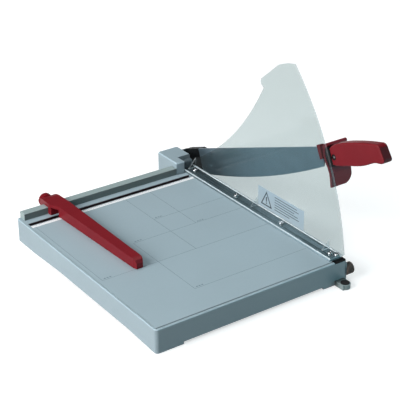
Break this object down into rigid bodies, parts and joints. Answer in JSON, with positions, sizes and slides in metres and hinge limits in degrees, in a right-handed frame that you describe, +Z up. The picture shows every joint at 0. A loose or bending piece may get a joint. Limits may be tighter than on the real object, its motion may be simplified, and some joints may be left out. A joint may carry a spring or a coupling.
{
  "type": "guillotine paper cutter",
  "caption": "Table-top guillotine paper cutter: long pivoted blade lever with hand guard, clear safety guard on a clamping bar, rear fence and sliding back gauge with a clamping knob.",
  "frame": {"origin": "centre of the bottom of the whole object's box, on the surface that the cutter stands on", "axes": "+Y from the user towards the fence and the lever pivot, +Z up, +X towards the blade side"},
  "size_m": [0.3426, 0.471, 0.2787],
  "materials": {
    "table_paint": "blue-grey textured enamel, satin",
    "aluminium": "drawn, dull",
    "white_film": "printed film",
    "zinc_steel": "zinc plated",
    "knife_steel": "ground and polished",
    "black_steel": "black enamel",
    "dark_steel": "blue-grey enamel",
    "bronze": "sintered bronze",
    "red_plastic": "moulded, fine grain, semi-gloss",
    "black_plastic": "moulded, matt",
    "black_rubber": "matt",
    "clear_acrylic": "clear sheet with a slight smoky tint, polished edges",
    "white_nylon": "moulded"
  },
  "bodies": {
    "root": {"base_frame": "table_paint", "foot_blocks": "black_plastic", "pivot_housing": "table_paint", "outrigger_foot": "table_paint", "fence": "table_paint", "table_plate": "table_paint", "gauge_track": "aluminium", "scale_strip": "white_film", "fence_screws": "zinc_steel", "housing_screws": "zinc_steel", "bed_knife": "knife_steel", "bed_knife_screws": "zinc_steel", "front_end_block": "black_plastic", "lever_buffer": "black_rubber", "buffer_bolt": "zinc_steel", "outrigger_plug": "black_rubber", "rubber_feet": "black_rubber", "foot_screws": "zinc_steel", "pivot_bolt": "black_steel", "pivot_washer": "zinc_steel", "spring_washers": "zinc_steel", "pivot_nut": "zinc_steel", "guard_hinge_pin": "zinc_steel"},
    "lever": {"lever_arm": "black_steel", "pivot_bush": "bronze", "blade": "knife_steel", "blade_screws": "black_steel", "lever_sleeve": "red_plastic", "hand_guard": "red_plastic", "handle_collar": "black_plastic", "handle_left_shell": "red_plastic", "handle_right_shell": "red_plastic", "handle_screws": "black_steel"},
    "guard": {"safety_guard": "clear_acrylic", "clamp_bar": "dark_steel", "guard_screws": "zinc_steel", "front_guard_screw": "zinc_steel", "guard_gussets": "clear_acrylic", "guard_label": "white_film", "hinge_lug": "dark_steel"},
    "gauge": {"gauge_arm": "red_plastic", "guide_shoe": "black_plastic", "shoe_screw": "zinc_steel", "clamp_pad": "white_nylon"},
    "knob": {"gauge_knob": "red_plastic", "knob_stud": "zinc_steel"}
  },
  "joints": [
    {"name": "lever_pivot", "type": "hinge", "parent": "root", "child": "lever", "pos_m": [0.13525, 0.21148, 0.027], "axis": [-1, 0, 0], "range_deg": [-19.9, 25]},
    {"name": "guard_lift", "type": "hinge", "parent": "root", "child": "guard", "pos_m": [0.12225, 0.18448, 0.045], "axis": [-1, 0, 0], "range_deg": [0, 2.5]},
    {"name": "gauge_slide", "type": "slide", "parent": "root", "child": "gauge", "axis": [1, 0, 0], "range_m": [-0.036, 0.195]},
    {"name": "gauge_knob_turn", "type": "hinge", "parent": "gauge", "child": "knob", "pos_m": [-0.11475, 0.20388, 0.0414], "axis": [0, 1, 0], "range_deg": [0, 330]}
  ]
}
